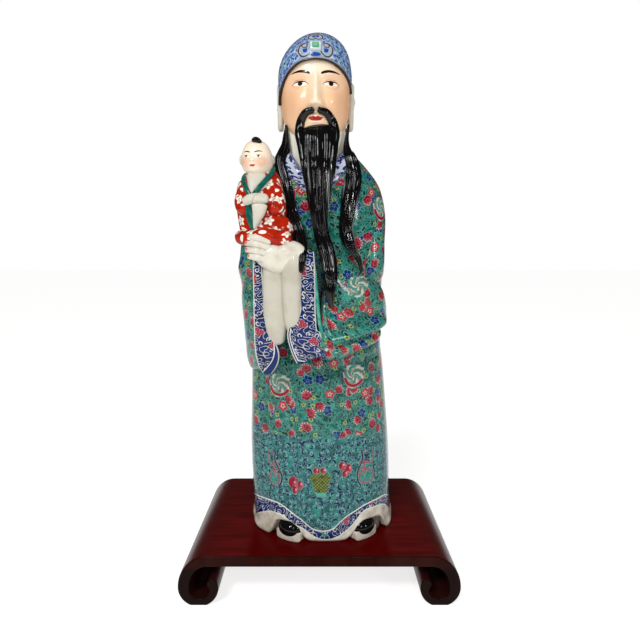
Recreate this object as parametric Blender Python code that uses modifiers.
"""A tall glazed porcelain figure of the star god Lu Xing, holding a small child, on a lacquered scroll stand.

Metres, +Z up, the front faces -Y. The origin is on the ground under the middle of the stand.
"""

import math

import bmesh
import bpy
import numpy as np

# Stand, set by its own sizes
STAND_WIDTH = 0.325
STAND_DEPTH = 0.196
STAND_HEIGHT = 0.061
BOARD_THICKNESS = 0.013
SCROLL_RADIUS = 0.0233  # outside of the rolled foot
SHOULDER_RUN = 0.034  # length over which the board bends down to the roll
CURL_END_RADIUS = 0.0062  # the round bead that ends the roll
EDGE_RADIUS = 0.0016
FOOT_FLAT = 0.018  # width of the flat that the roll stands on

# Figure: one cast piece, whose forms are shares of its own height
FIGURE_HEIGHT = 0.590
UNIT = FIGURE_HEIGHT / 590.0  # the forms below are written in this unit
STAND_GAP = 0.0003  # between the stand's top and the figure's flat foot
FIGURE_SETBACK = 0.002  # of the figure's axis behind the middle of the stand
VOXEL = 2.4 * UNIT  # grain of the joined casting
FACE_SHARE = 0.052  # share of the fine casting's faces that are kept
FOOT_DEPTH = 12.0  # how far the forms run below the foot before the flat is cut


# Curves and lofts

def smooth_rows(rows, count):
    """Rows of numbers read from a smooth curve through the given rows, evenly along it."""
    rows = np.asarray(rows, float)
    steps = np.linalg.norm(np.diff(rows[:, :3], axis=0), axis=1)
    at = np.concatenate([[0.0], np.cumsum(np.maximum(steps, 1e-6))])
    slopes = np.gradient(rows, at, axis=0)
    wanted = np.linspace(0.0, at[-1], count)
    i = np.clip(np.searchsorted(at, wanted, side="right") - 1, 0, len(at) - 2)
    span = (at[i + 1] - at[i])[:, None]
    t = (wanted - at[i])[:, None] / span
    return (
        (2 * t**3 - 3 * t**2 + 1) * rows[i]
        + (t**3 - 2 * t**2 + t) * span * slopes[i]
        + (-2 * t**3 + 3 * t**2) * rows[i + 1]
        + (t**3 - t**2) * span * slopes[i + 1]
    )


def bump(distance, width):
    """A smooth rise of height 1 at distance 0."""
    return np.exp(-((np.asarray(distance, float) / width) ** 2))


def closed_grid(points):
    """The faces of rings of points, with a fan to a middle point at each end."""
    rings, sides, _ = points.shape
    corners = [tuple(p) for p in points.reshape(-1, 3)]
    corners += [tuple(points[0].mean(axis=0)), tuple(points[-1].mean(axis=0))]
    first, last = len(corners) - 2, len(corners) - 1
    faces = []
    for ring in range(rings - 1):
        for side in range(sides):
            beside = (side + 1) % sides
            low, high = ring * sides, (ring + 1) * sides
            faces.append((low + side, low + beside, high + beside, high + side))
    for side in range(sides):
        beside = (side + 1) % sides
        faces.append((first, beside, side))
        faces.append((last, (rings - 1) * sides + side, (rings - 1) * sides + beside))
    return corners, faces


def loft(shells, rows, out=(0, -1, 0), rings=14, sides=14, power=2.2, ends=0.9):
    """A closed form through rows of x, y, z, half width and half depth, with round ends.

    The half depth runs along out, squared to the path, and the half width across both.
    """
    line = smooth_rows(rows, rings)
    centres = line[:, :3]
    tangents = np.gradient(centres, axis=0)
    tangents /= np.linalg.norm(tangents, axis=1)[:, None]
    fronts = np.asarray(out, float) - (tangents @ np.asarray(out, float))[:, None] * tangents
    fronts /= np.linalg.norm(fronts, axis=1)[:, None]
    across = np.cross(fronts, tangents)
    halves = np.maximum(line[:, 3:5], 0.4)
    run = np.linspace(0.0, np.linalg.norm(np.diff(centres, axis=0), axis=1).sum(), rings)
    for near, index in ((run, 0), (run[-1] - run, -1)):
        reach = ends * halves[index].min()
        inside = 1.0 - np.clip(near / max(reach, 1e-6), 0.0, 1.0)
        halves *= np.sqrt(np.maximum(1.0 - inside**2, 0.04))[:, None]
    angle = np.linspace(0.0, 2 * math.pi, sides, endpoint=False)
    wide = np.sign(np.cos(angle)) * np.abs(np.cos(angle)) ** (2 / power)
    deep = np.sign(np.sin(angle)) * np.abs(np.sin(angle)) ** (2 / power)
    points = (
        centres[:, None]
        + across[:, None] * (halves[:, :1] * wide)[:, :, None]
        + fronts[:, None] * (halves[:, 1:] * deep)[:, :, None]
    )
    shells.append(closed_grid(points))


def ball(shells, centre, halves, sides=14):
    """An ellipsoid as a loft up its own axis."""
    angles = np.linspace(-0.5 * math.pi + 0.25, 0.5 * math.pi - 0.25, 9)
    turn = np.linspace(0.0, 2 * math.pi, sides, endpoint=False)
    points = np.stack(
        [
            centre[0] + halves[0] * np.outer(np.cos(angles), np.cos(turn)),
            centre[1] + halves[1] * np.outer(np.cos(angles), np.sin(turn)),
            centre[2] + halves[2] * np.outer(np.sin(angles), np.ones(sides)),
        ],
        axis=2,
    )
    shells.append(closed_grid(points))


# Robe: a column with a waved hem that lifts over each shoe

HEM_ARCHES = ((-0.46, 0.23), (0.70, 0.37))  # where the hem lifts, in turns of the column, and how widely
SHOE_TURNS = (-0.46, 0.60)
ROBE_ROWS = (  # height, middle x and y, half width, half depth
    (0, 4, -3, 88, 65),
    (10, 4, -3, 89.5, 66.5),
    (25, 3, -3, 88.5, 64),
    (60, 1.5, -3, 89, 62),
    (110, -0.5, -3, 88, 59),
    (160, -2, -3, 85, 56),
    (200, -3, -3, 82.5, 55),
    (240, -5, -2, 80, 55),
    (290, -5, -1, 81, 56),
    (350, -5, 0, 84.5, 56),
    (388, -4, 1, 83.5, 53),
    (410, -4, 2, 79, 48),
    (424, -4, 3, 73, 44),
    (438, -4, 3, 62, 38),
    (452, -4, 3, 49, 33),
    (462, -4, 3, 38, 29),
    (468, -4, 3, 30, 26),
)


def robe_fold(turn, height):
    """How far the cloth's soft folds stand out, over the back and the sides."""
    back = 0.5 - 0.5 * np.cos(turn)
    low = np.clip(1.0 - height / 360.0, 0.0, 1.0)
    waves = 0.6 * np.cos(7 * turn + 0.006 * height) + 0.4 * np.cos(11 * turn - 0.4)
    return (0.3 + 2.9 * back) * low * waves


def robe(shells, rings=46, sides=72):
    rows = np.asarray(ROBE_ROWS, float)
    turn = np.linspace(-math.pi, math.pi, sides, endpoint=False)
    arch = sum(np.exp(-(((turn - at) / wide) ** 4)) for at, wide in HEM_ARCHES)
    hem = -FOOT_DEPTH + (FOOT_DEPTH + 24.0) * arch
    share = np.linspace(0.0, 1.0, rings) ** 1.15
    top = rows[-1, 0]
    height = hem[None] + (top - hem[None]) * share[:, None]
    flat = np.clip(height, 0.0, top)
    middle_x, middle_y, wide, deep = (np.interp(flat, rows[:, 0], rows[:, k]) for k in (1, 2, 3, 4))
    rim = 1.6 * bump(height - np.maximum(hem, 0.0)[None] - 4.0, 4.5)
    lift = 2.5 * arch[None] * bump(height - 28.0, 22.0) + rim + robe_fold(turn[None], height)
    side = np.sign(np.sin(turn)) * np.abs(np.sin(turn)) ** 0.88
    front = np.sign(np.cos(turn)) * np.abs(np.cos(turn)) ** 0.88
    points = np.stack([middle_x + (wide + lift) * side, middle_y - (deep + lift) * front, height], axis=2)
    core = points[0].copy()
    core[:, :2] = (core[:, :2] - (4, -3)) * 0.84 + (4, -3)
    foot = core.copy()
    foot[:, 2] = -FOOT_DEPTH
    shells.append(closed_grid(np.concatenate([foot[None], core[None], points])))


def shoes(shells):
    """Two thick pale soles with black uppers, turned out under the arches of the hem."""
    for turn, way in zip(SHOE_TURNS, ((-0.44, -0.90), (0.58, -0.81))):
        way = np.array(way)
        edge = np.array([4 + 87 * math.sin(turn), -3 - 64 * math.cos(turn)])
        heel, toe = edge - 34 * way, edge + 10 * way
        sole = [(*heel, 0, 17, 12), (*(heel * 0.4 + toe * 0.6), 0, 18, 12), (*toe, 0, 16, 12)]
        loft(shells, sole, out=(0, 0, 1), rings=8, sides=16, power=6.0, ends=0.1)
        instep = edge - 3 * way
        ball(shells, (*instep, 13), (16, 13, 13))


# Arms and the hanging sleeves

def sleeves(shells):
    side = (-0.87, -0.49, 0.0)
    loft(  # the bag of the sleeve under the child
        shells,
        [
            (-64, -50, 206, 24, 8), (-66, -48, 214, 32, 11), (-67, -46, 235, 35, 14),
            (-68, -44, 262, 37, 16), (-70, -42, 295, 38, 17), (-70, -37, 325, 37, 18),
            (-68, -30, 352, 33, 19), (-66, -18, 382, 27, 19), (-58, -4, 412, 21, 17),
            (-46, 4, 434, 14, 13),
        ],
        out=side, rings=22, sides=24, power=2.5,
    )
    loft(  # the upper arm on the free side
        shells,
        [
            (44, 2, 436, 12, 12), (54, -2, 412, 19, 22), (57, -10, 375, 20, 26),
            (57, -16, 335, 21, 28), (54, -20, 300, 22, 28),
        ],
        rings=14, sides=20,
    )
    loft(  # its sleeve, across the body to the front
        shells,
        [
            (60, -6, 302, 26, 12), (53, -30, 296, 43, 17), (41, -50, 288, 53, 18),
            (22, -66, 284, 55, 15), (2, -77, 284, 54, 11), (-8, -81, 286, 48, 8),
        ],
        out=(0.5, -0.85, 0.16), rings=20, sides=26, power=2.2,
    )


def cuffs(shells):
    """The two wide borders of the sleeve openings, and the pale lining that hangs between them."""
    loft(
        shells,
        [
            (-66.5, -80, 338, 5, 5), (-65, -84, 300, 6, 6), (-63.5, -85, 264, 7.5, 6),
            (-59, -84, 243, 12, 6), (-56.5, -82, 228, 13, 6), (-57.5, -79, 216, 9.5, 5),
            (-58, -76, 207, 4, 4),
        ],
        rings=18, sides=14, power=3.2,
    )
    loft(
        shells,
        [
            (-5, -77, 352, 3, 5), (-9.5, -84, 330, 6.5, 6.5), (-10, -87, 300, 7, 7.5),
            (-10.5, -88, 272, 9.5, 7.5), (-15.5, -88, 259, 16, 7.5), (-12.5, -87, 242, 17.5, 7),
            (-7.5, -85, 227, 16.5, 6.5),
        ],
        rings=22, sides=16, power=5.0, ends=0.1,
    )
    loft(
        shells,
        [
            (-44, -82, 338, 13, 9), (-47.5, -85, 312, 12, 10), (-47.5, -85, 280, 12, 9),
            (-47, -84, 256, 11, 8), (-46, -82, 241, 7.5, 6),
        ],
        rings=14, sides=14,
    )
    loft(
        shells,
        [
            (-26, -82, 340, 10, 10), (-27, -86, 312, 9.5, 11), (-28, -87, 282, 8.5, 10),
            (-28, -86, 264, 7.5, 8), (-28, -84, 254, 5, 6),
        ],
        rings=14, sides=14,
    )
    loft(shells, [(-72, -46, 304, 36, 8), (-40, -74, 306, 48, 9), (6, -72, 302, 44, 9)],
         out=(0, -1, 0), rings=8, sides=16)


def big_hand(shells):
    """The hand under the child: its back and wrist to the right, four fingers to the left."""
    loft(
        shells,
        [
            (-23, -82, 350, 11, 8), (-29, -86, 340, 14, 10.5), (-42, -88, 334, 15, 10.5),
            (-54, -89, 338, 13, 8.5), (-62, -87, 343, 11, 6),
        ],
        rings=12, sides=16, power=2.4,
    )
    for order in range(4):
        knuckle = (-52, -92, 352 - 6.8 * order)
        tip = (-76 - 2.5 * math.sin(order * 1.1), -86, 358.5 - 6.8 * order)
        middle = (-65, -93, 356.5 - 6.8 * order)
        loft(shells, [(*knuckle, 4.0, 5), (*middle, 3.9, 4.6), (*tip, 3.0, 3.6)], rings=7, sides=8)


# Head, hat and hair

HEAD_ROWS = (  # height, middle x and y, half width, half depth
    (462, -3.8, -18, 14, 14),
    (468, -3.8, -14, 24, 26),
    (480, -4.2, -9, 33, 36),
    (498, -4.4, -4, 38.5, 42),
    (520, -4.6, -2, 40.2, 45),
    (540, -4.8, 0, 40.2, 46),
    (558, -4.8, 1, 38, 43),
    (572, -3.8, 2, 32, 35),
    (580, -3.8, 3, 20, 23),
)


def head(shells):
    rows = [(x, y, z, a, b) for z, x, y, a, b in HEAD_ROWS]
    loft(shells, rows, rings=18, sides=32, power=2.1, ends=0.2)
    loft(  # nose
        shells,
        [(-3.8, -40, 532, 4, 6), (-3.8, -45, 520, 4, 7), (-3.8, -50, 508, 5, 7), (-3.8, -53, 502, 6.5, 6.5)],
        rings=10, sides=10,
    )
    ball(shells, (-3.8, -44, 487), (9, 5, 5), sides=12)
    for side in (-1, 1):
        ball(shells, (-3.8 + 6.2 * side, -47, 501.5), (4, 5, 3.8), sides=10)
        ball(shells, (-3.8 + 19 * side, -31, 507), (13, 11, 13), sides=10)
        loft(  # brow
            shells,
            [
                (-3.8 + 6 * side, -43, 534, 2, 3), (-3.8 + 16 * side, -41.5, 537.5, 2.4, 3),
                (-3.8 + 29 * side, -32, 534, 2, 3),
            ],
            out=(0, -1, 0), rings=7, sides=8,
        )
        ball(shells, (-3.8 + 16.5 * side, -37, 525), (8, 6, 4.6), sides=10)
        lobe = -4.4 + 40.5 * side
        loft(  # ear, with its long lobe
            shells,
            [
                (lobe - 1.5 * side, 4, 528, 4, 3), (lobe + 1.2 * side, 5, 519, 9, 4),
                (lobe + 1.6 * side, 3, 503, 8, 4), (lobe + 1.2 * side, -1, 488, 6, 3.8),
                (lobe + 0.8 * side, -2, 476, 5.5, 3.4), (lobe + 0.6 * side, -2, 468, 3.5, 3),
            ],
            out=(side, 0, 0), rings=12, sides=10,
        )
    loft(shells, [(-4, 2, 428, 37, 32), (-4, -2, 450, 36, 30), (-4, -2, 480, 36, 32), (-4, -2, 512, 34, 34)],
         rings=8, sides=24)


def hat_edge(turn):
    """The height of the cap's rolled edge: it arches over the brow and falls to the nape."""
    return np.interp(np.abs(turn), [0, 0.4, 0.8, 1.15, 1.5, 2.1, math.pi], [548, 546, 537, 521, 503, 486, 474])


def hat_ring(turn, height):
    """A level line of the cap, at the given heights."""
    rows = np.asarray(HEAD_ROWS, float)
    wide, deep = (np.interp(np.minimum(height, 540), rows[:, 0], rows[:, k]) + 3.0 for k in (3, 4))
    dome = np.clip(1.0 - (np.clip(height - 538.0, 0, 52) / 52.2) ** 2.3, 0.0, 1.0) ** 0.5
    return np.stack([-5.0 + wide * dome * np.sin(turn), -deep * dome * np.cos(turn), height], axis=-1)


def hat(shells, rings=14, sides=40):
    """A close cloth cap with a rolled edge, and a small tablet on a cloud shape over the brow."""
    turn = np.linspace(-math.pi, math.pi, sides, endpoint=False)
    edge = hat_edge(turn)
    shares = np.sin(0.5 * math.pi * np.linspace(0.0, 1.0, rings))
    stack = [hat_ring(turn, edge + (590.0 - edge) * share) for share in shares]
    inner = stack[0].copy()
    inner[:, :2] = (inner[:, :2] - (-5, 0)) * 0.8 + (-5, 0)
    inner[:, 2] += 3.0
    shells.append(closed_grid(np.stack([inner, *stack])))
    around = np.linspace(-2.9, 2.9, 30)
    path = hat_ring(around, hat_edge(around) + 1.0)
    loft(shells, [(*point, 2.6, 2.2) for point in path], out=(0, 0, 1), rings=60, sides=8)
    loft(shells, [(-3.8, -44, 560, 7, 3.4), (-3.8, -40, 571, 7, 3.6)], rings=5, sides=12, power=5.0, ends=0.3)


def hair(shells):
    """The long beard, the two moustache wings and the two locks that fall from the temples."""
    loft(
        shells,
        [
            (-2.0, -30, 484, 16, 9), (-1.4, -42, 473, 23, 11), (-1, -50, 455, 22, 11),
            (-1, -59, 432, 18.5, 10.5), (-0.8, -62, 415, 15.8, 10), (-0.3, -64, 389, 11, 9.5),
            (3, -65, 361, 8.8, 9), (8.5, -72, 340, 8.9, 9), (12, -84, 318, 7.5, 8),
            (12.5, -90, 295, 4.6, 6), (13.2, -90, 282, 1.5, 3),
        ],
        rings=26, sides=18,
    )
    for side in (-1, 1):
        loft(
            shells,
            [
                (-3.6 + 1.5 * side, -50, 495, 2.5, 2.5), (-3.4 + 10 * side, -47.5, 494, 4, 3.5),
                (-2.8 + 18 * side, -43, 487, 4.5, 4), (-2 + 22 * side, -42, 475, 4.2, 4),
                (-1.4 + 21 * side, -47, 458, 3, 3.5),
            ],
            rings=12, sides=8,
        )
    loft(
        shells,
        [
            (-38, -22, 486, 1.5, 2.5), (-37.5, -29, 462, 4.8, 5), (-41, -36, 443, 9.2, 7),
            (-36, -46, 419, 7.9, 8), (-29, -56, 384, 7.4, 8), (-20, -66, 360, 6.5, 8),
            (-16.5, -80, 347, 5.6, 7), (-17, -89, 334, 4.6, 5), (-20, -92, 320, 2, 3),
        ],
        rings=24, sides=14,
    )
    loft(
        shells,
        [
            (33.5, -20, 487, 1.5, 2.5), (32, -29, 460, 4, 5), (34.2, -35, 446, 8.9, 7),
            (37.6, -41, 428, 10, 8), (35, -50, 404, 9.5, 9), (32.6, -54, 386, 8.3, 9),
            (31, -57, 361, 7.4, 9), (36, -63, 346, 5.5, 8), (43.6, -64, 333, 3.2, 6),
            (47.3, -64, 319, 1.8, 3),
        ],
        rings=24, sides=14,
    )


def chest(shells):
    """The full front of the robe under the beard, and the crook of the arm that the child sits in."""
    loft(
        shells,
        [
            (-4, -18, 456, 26, 20), (-4, -23, 436, 40, 25), (-4, -24, 412, 50, 31),
            (-4, -22, 380, 56, 36), (-4, -20, 340, 56, 38),
        ],
        rings=12, sides=24,
    )
    ball(shells, (-58, -44, 382), (30, 26, 46), sides=20)
    ball(shells, (-52, -56, 350), (36, 26, 26), sides=20)


def collar(shells):
    for side in (-1, 1):
        loft(
            shells,
            [
                (-4, 30, 461, 7, 4), (-4 + 24 * side, 20, 458, 7, 4), (-4 + 32 * side, -6, 449, 7.5, 4),
                (-4 + 27 * side, -32, 438, 8, 4), (-4 + 16 * side, -48, 420, 8, 4), (-4, -54, 400, 7, 3),
            ],
            out=(side, -0.6, 0.4), rings=16, sides=10,
        )


# The child

def child(shells):
    ball(shells, (-67.5, -60, 442.5), (16.2, 15.5, 17.2), sides=22)
    ball(shells, (-70, -75.4, 440), (2.4, 2.6, 2.4), sides=8)
    for side in (-1, 1):
        ball(shells, (-67.5 + 16 * side, -57, 442), (2.4, 3.8, 4.8), sides=8)
        ball(shells, (-67.5 + 7 * side, -70.5, 436), (5.5, 4.5, 5), sides=8)
    loft(
        shells,
        [
            (-62, -57, 430, 11, 9), (-61.5, -58, 419, 18, 13), (-62, -60, 405, 23, 18),
            (-61.5, -62, 388, 26, 20), (-60, -64, 372, 26, 21), (-56.5, -67, 360, 30, 22),
            (-54.5, -68, 350, 31, 21),
        ],
        rings=18, sides=24, power=2.4, ends=0.5,
    )
    for side, reach in ((-1, 19), (1, 19)):
        loft(
            shells,
            [
                (-62 + 14 * side, -62, 417, 6, 8), (-62 + (reach + 2) * side, -68, 400, 8, 9),
                (-61 + (reach - 1) * side, -76, 387, 8, 9), (-62 + 8 * side, -84, 388, 7, 7),
            ],
            rings=12, sides=12,
        )
    loft(shells, [(-74, -88, 393, 4, 4.5), (-64, -92, 396, 5, 4.5), (-53, -88, 399, 4.5, 4.5)], rings=8, sides=10)
    loft(shells, [(-59, -90, 394, 8, 4), (-60.5, -90, 384, 6.5, 4), (-65, -87, 370, 2.5, 3)], rings=8, sides=10)
    loft(
        shells,
        [(-86, -72, 357, 7, 11), (-72, -84, 357, 9, 9), (-50, -88, 358, 9, 9), (-30, -82, 354, 8, 9)],
        out=(0, -1, 0), rings=12, sides=12,
    )


# Joining the cast figure

def shell_mesh(shells):
    """One mesh that holds all the closed forms, still loose from each other, with faces pointing out."""
    mesh = bpy.data.meshes.new("figure")
    joined = bmesh.new()
    for corners, faces in shells:
        points = [joined.verts.new(tuple(UNIT * value for value in corner)) for corner in corners]
        made = [joined.faces.new([points[index] for index in face]) for face in faces]
        bmesh.ops.recalc_face_normals(joined, faces=made)
    joined.to_mesh(mesh)
    joined.free()
    return mesh


def porcelain_figure(collection, cutters):
    """The figure as one casting: its forms are fused, thinned and cut flat under the foot."""
    shells = []
    for form in (robe, shoes, chest, sleeves, cuffs, big_hand, head, hat, hair, collar, child):
        form(shells)
    figure = bpy.data.objects.new("porcelain_figure", shell_mesh(shells))
    figure.location = (0.0, FIGURE_SETBACK, STAND_HEIGHT + STAND_GAP)
    collection.objects.link(figure)
    fused = figure.modifiers.new("fused", "REMESH")
    fused.mode = "VOXEL"
    fused.voxel_size = VOXEL
    eased = figure.modifiers.new("eased", "SMOOTH")
    eased.factor = 0.5
    eased.iterations = 2
    thinned = figure.modifiers.new("thinned", "DECIMATE")
    thinned.ratio = FACE_SHARE
    bpy.ops.mesh.primitive_cube_add(size=1.0)
    ground = bpy.context.object
    ground.name = "foot_cutter"
    ground.scale = (400 * UNIT, 400 * UNIT, 60 * UNIT)
    ground.location = (0.0, FIGURE_SETBACK, STAND_HEIGHT + STAND_GAP - 30 * UNIT)
    move_to(ground, cutters)
    foot = figure.modifiers.new("foot", "BOOLEAN")
    foot.operation = "DIFFERENCE"
    foot.object = ground
    figure.data.materials.append(plain_material("glazed_porcelain", (0.16, 0.45, 0.38), 0.12))
    return figure


# Stand: one ribbon of board that rolls under at both ends

def roll_outline():
    """The right half of the stand's section as points (x, z), outer line first, from the middle outwards."""
    reach = STAND_WIDTH / 2
    radius = SCROLL_RADIUS
    drop = math.sqrt(radius**2 - (FOOT_FLAT / 2) ** 2)
    centre = np.array([reach - radius, drop])
    shoulder_drop = STAND_HEIGHT - centre[1]
    outer = []
    for angle in np.linspace(0.0, 0.5 * math.pi, 13):
        outer.append((reach - SHOULDER_RUN * (1 - math.sin(angle)),
                      centre[1] + shoulder_drop * math.cos(angle)))
    outer[0] = (reach - SHOULDER_RUN, STAND_HEIGHT)
    bead = CURL_END_RADIUS
    for angle in np.linspace(0.0, math.radians(196), 25)[1:]:
        outer.append((centre[0] + radius * math.cos(angle), max(centre[1] - radius * math.sin(angle), 0.0)))
    bead_angle = math.radians(196)
    bead_centre = centre + (radius - bead) * np.array([math.cos(bead_angle), -math.sin(bead_angle)])
    for angle in np.linspace(bead_angle, bead_angle + math.radians(215), 13)[1:]:
        outer.append((bead_centre[0] + bead * math.cos(angle), bead_centre[1] - bead * math.sin(angle)))
    inner = []
    thin = 0.72 * BOARD_THICKNESS
    for share in np.linspace(0.0, 1.0, 19):
        angle = math.radians(165) * (1 - share)
        wall = BOARD_THICKNESS + (thin - BOARD_THICKNESS) * math.sin(0.5 * math.pi * (1 - share))
        inner.append((centre[0] + (radius - wall) * math.cos(angle), centre[1] - (radius - wall) * math.sin(angle)))
    run = SHOULDER_RUN - BOARD_THICKNESS
    for angle in np.linspace(0.5 * math.pi, 0.0, 13)[1:]:
        inner.append((reach - BOARD_THICKNESS - run * (1 - math.sin(angle)),
                      centre[1] + (shoulder_drop - BOARD_THICKNESS) * math.cos(angle)))
    return outer, inner


def scroll_stand(collection):
    outer, inner = roll_outline()
    right = outer + inner
    outline = right + [(-x, z) for x, z in reversed(right)]
    curve = bpy.data.curves.new("scroll_stand", "CURVE")
    curve.dimensions = "2D"
    curve.fill_mode = "BOTH"
    curve.extrude = STAND_DEPTH / 2 - EDGE_RADIUS
    curve.bevel_depth = EDGE_RADIUS
    curve.bevel_resolution = 1
    curve.offset = -EDGE_RADIUS
    spline = curve.splines.new("POLY")
    spline.points.add(len(outline) - 1)
    for point, (x, z) in zip(spline.points, outline):
        point.co = (x, z, 0.0, 1.0)
    spline.use_cyclic_u = True
    stand = bpy.data.objects.new("scroll_stand", curve)
    stand.rotation_euler = (0.5 * math.pi, 0.0, 0.0)
    collection.objects.link(stand)
    sealed = stand.modifiers.new("sealed", "WELD")
    sealed.merge_threshold = 0.00005
    curve.materials.append(plain_material("red_lacquered_wood", (0.06, 0.006, 0.006), 0.18))
    return stand


# Scene

def plain_material(name, colour, roughness):
    material = bpy.data.materials.new(name)
    material.use_nodes = True
    shader = material.node_tree.nodes["Principled BSDF"]
    shader.inputs["Base Color"].default_value = (*colour, 1.0)
    shader.inputs["Roughness"].default_value = roughness
    shader.inputs["Metallic"].default_value = 0.0
    return material


def move_to(obj, collection):
    for old in list(obj.users_collection):
        old.objects.unlink(obj)
    collection.objects.link(obj)
    obj.display_type = "WIRE"
    obj.hide_render = True


def main():
    for obj in list(bpy.data.objects):
        bpy.data.objects.remove(obj)
    parts = bpy.data.collections.new("lu_xing_figure")
    cutters = bpy.data.collections.new("cutters")
    bpy.context.scene.collection.children.link(parts)
    bpy.context.scene.collection.children.link(cutters)
    porcelain_figure(parts, cutters)
    scroll_stand(parts)


main()
